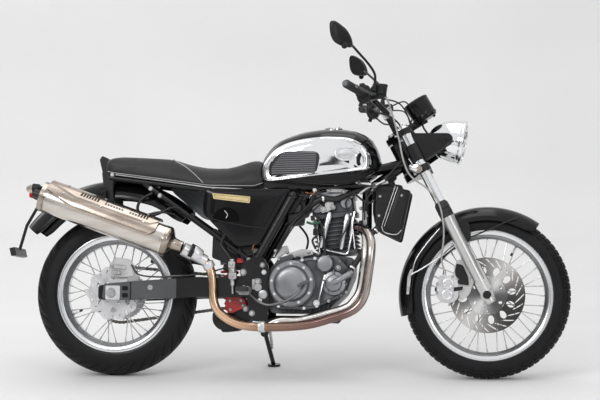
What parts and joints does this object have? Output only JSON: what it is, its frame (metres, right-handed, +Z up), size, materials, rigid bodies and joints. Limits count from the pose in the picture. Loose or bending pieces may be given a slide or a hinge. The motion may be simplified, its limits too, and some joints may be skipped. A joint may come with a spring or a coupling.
{
  "type": "motorcycle",
  "caption": "Unfaired single-cylinder roadster motorcycle leaning on its side stand, with steering fork, free-turning wheels and folding stand.",
  "frame": {"origin": "middle of the bounding box's base, on the ground", "axes": "+X towards the front wheel, +Y to the rider's left, +Z up; the machine leans 10 degrees to +Y"},
  "size_m": [2.2449, 0.9358, 1.4155],
  "materials": {
    "frame_black": "satin black paint",
    "cast_dark": "grey cast alloy",
    "cover_silver": "silver cast alloy",
    "tank_black": "gloss black lacquer",
    "chrome": "bright chrome",
    "seat_cover": "matt grained vinyl",
    "plastic_black": "matt black plastic",
    "steel": "brushed stainless steel",
    "bronze_steel": "heat-tinted steel",
    "alloy": "polished alloy",
    "tyre_rubber": "matt black rubber",
    "grip_rubber": "soft black rubber",
    "shock_red": "red powder coat",
    "chain_steel": "oiled steel",
    "lens": "clear lens"
  },
  "bodies": {
    "chassis": {"frame": "frame_black", "pivot_plates": "frame_black", "subframe": "frame_black", "swingarm": "frame_black", "rear_axle": "steel", "shock": "shock_red", "engine_cases": "cast_dark", "engine_covers": "cover_silver", "engine_top": "cast_dark", "radiator": "plastic_black", "fuel_tank": "tank_black", "tank_panels": "chrome", "fuel_cap": "chrome", "seat": "seat_cover", "side_covers": "tank_black", "airbox": "plastic_black", "rear_fender": "tank_black", "rear_lamps": "plastic_black", "header_pipes": "bronze_steel", "muffler": "steel", "heat_shield": "steel", "chain": "chain_steel", "footpegs": "plastic_black", "foot_controls": "alloy", "rear_brake": "alloy"},
    "steering": {"fork_clamps": "frame_black", "fork_tubes": "chrome", "fork_lowers": "alloy", "handlebar": "frame_black", "grips": "grip_rubber", "controls": "plastic_black", "mirrors": "plastic_black", "headlight": "chrome", "gauge": "plastic_black", "front_fender": "tank_black", "front_brake": "alloy", "front_axle": "steel"},
    "front_wheel": {"front_tyre": "tyre_rubber", "front_rim": "alloy", "front_disc": "steel"},
    "rear_wheel": {"rear_tyre": "tyre_rubber", "rear_rim": "alloy", "rear_disc": "steel", "rear_sprocket": "steel"},
    "side_stand": {"side_stand": "frame_black"}
  },
  "joints": [
    {"name": "steering_turn", "type": "hinge", "parent": "chassis", "child": "steering", "pos_m": [0.74995, -0.17283, 0.30151], "axis": [-0.454, 0.1547, 0.8775], "range_deg": [-33, 33]},
    {"name": "front_wheel_spin", "type": "hinge", "parent": "steering", "child": "front_wheel", "pos_m": [0.7945, -0.16889, 0.32387], "axis": [0, 0.9848, -0.1736], "continuous": true},
    {"name": "rear_wheel_spin", "type": "hinge", "parent": "chassis", "child": "rear_wheel", "pos_m": [-0.6925, -0.16921, 0.32208], "axis": [0, 0.9848, -0.1736], "continuous": true},
    {"name": "side_stand_fold", "type": "hinge", "parent": "chassis", "child": "side_stand", "pos_m": [-0.1065, -0.07657, 0.15643], "axis": [0, 0.88, 0.475], "range_deg": [0, 92]}
  ]
}
